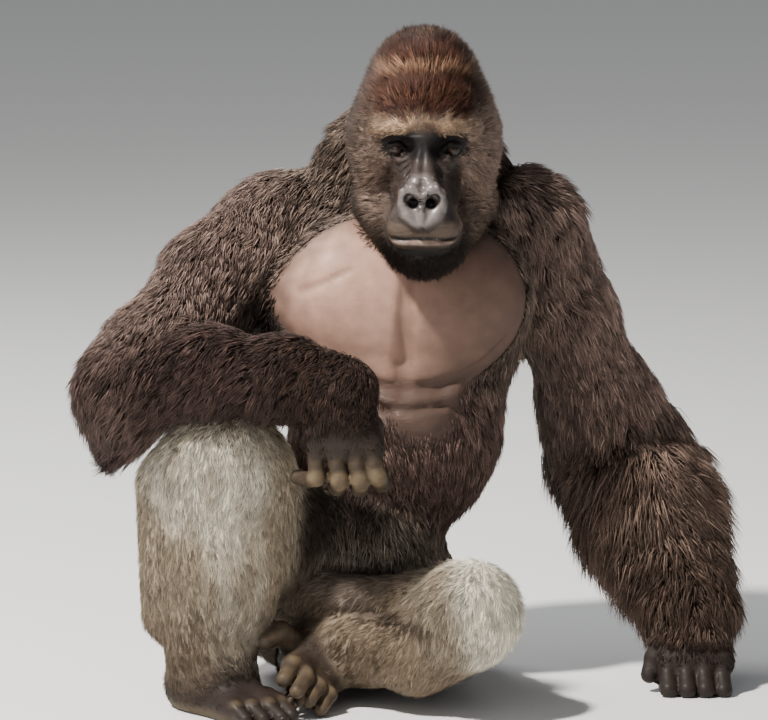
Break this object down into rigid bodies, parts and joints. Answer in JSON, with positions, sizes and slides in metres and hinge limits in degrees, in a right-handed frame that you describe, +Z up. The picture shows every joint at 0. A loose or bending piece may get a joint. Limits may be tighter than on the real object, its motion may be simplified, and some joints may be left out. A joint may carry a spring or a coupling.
{
  "type": "seated gorilla model",
  "caption": "Life-size still model of a silverback gorilla sitting with one knee up, one forearm across that knee and the other hand on the ground.",
  "frame": {"origin": "middle of the whole outline on the ground, under the belly", "axes": "+Z up, the face looks along -Y, the animal's left hand is on +X"},
  "size_m": [0.9925, 0.6815, 0.9889],
  "materials": {
    "dark_fur": "coarse dark brown hair",
    "silver_fur": "short grey hair",
    "crown_fur": "short reddish brown hair",
    "face_skin": "dark wrinkled skin with a slight shine",
    "chest_skin": "bare mauve brown skin",
    "hand_skin": "dark skin with thin hair",
    "finger_skin": "dusty skin",
    "eye": "wet and dark brown",
    "nail": "dark nail"
  },
  "bodies": {
    "root": {"head": "crown_fur", "brow": "face_skin", "muzzle": "face_skin", "jaw": "dark_fur", "ear_right": "face_skin", "ear_left": "face_skin", "neck": "dark_fur", "chest": "chest_skin", "abdomen": "dark_fur", "hips": "dark_fur", "upper_arm_right": "dark_fur", "forearm_right": "dark_fur", "upper_arm_left": "dark_fur", "forearm_left": "dark_fur", "thigh_right": "silver_fur", "shank_right": "silver_fur", "thigh_left": "silver_fur", "shank_left": "silver_fur", "foot_right": "hand_skin", "toe_right_1": "finger_skin", "toe_right_2": "finger_skin", "toe_right_3": "finger_skin", "toe_right_4": "finger_skin", "toe_right_5": "finger_skin", "foot_left": "hand_skin", "toe_left_1": "finger_skin", "toe_left_2": "finger_skin", "toe_left_3": "finger_skin", "toe_left_4": "finger_skin", "toe_left_5": "finger_skin", "hand_right": "hand_skin", "finger_right_1": "finger_skin", "finger_right_2": "finger_skin", "finger_right_3": "finger_skin", "finger_right_4": "finger_skin", "finger_right_5": "finger_skin", "hand_left": "hand_skin", "finger_left_1": "finger_skin", "finger_left_2": "finger_skin", "finger_left_3": "finger_skin", "finger_left_4": "finger_skin", "finger_left_5": "finger_skin", "eye_right": "eye", "eye_left": "eye"}
  },
  "joints": []
}
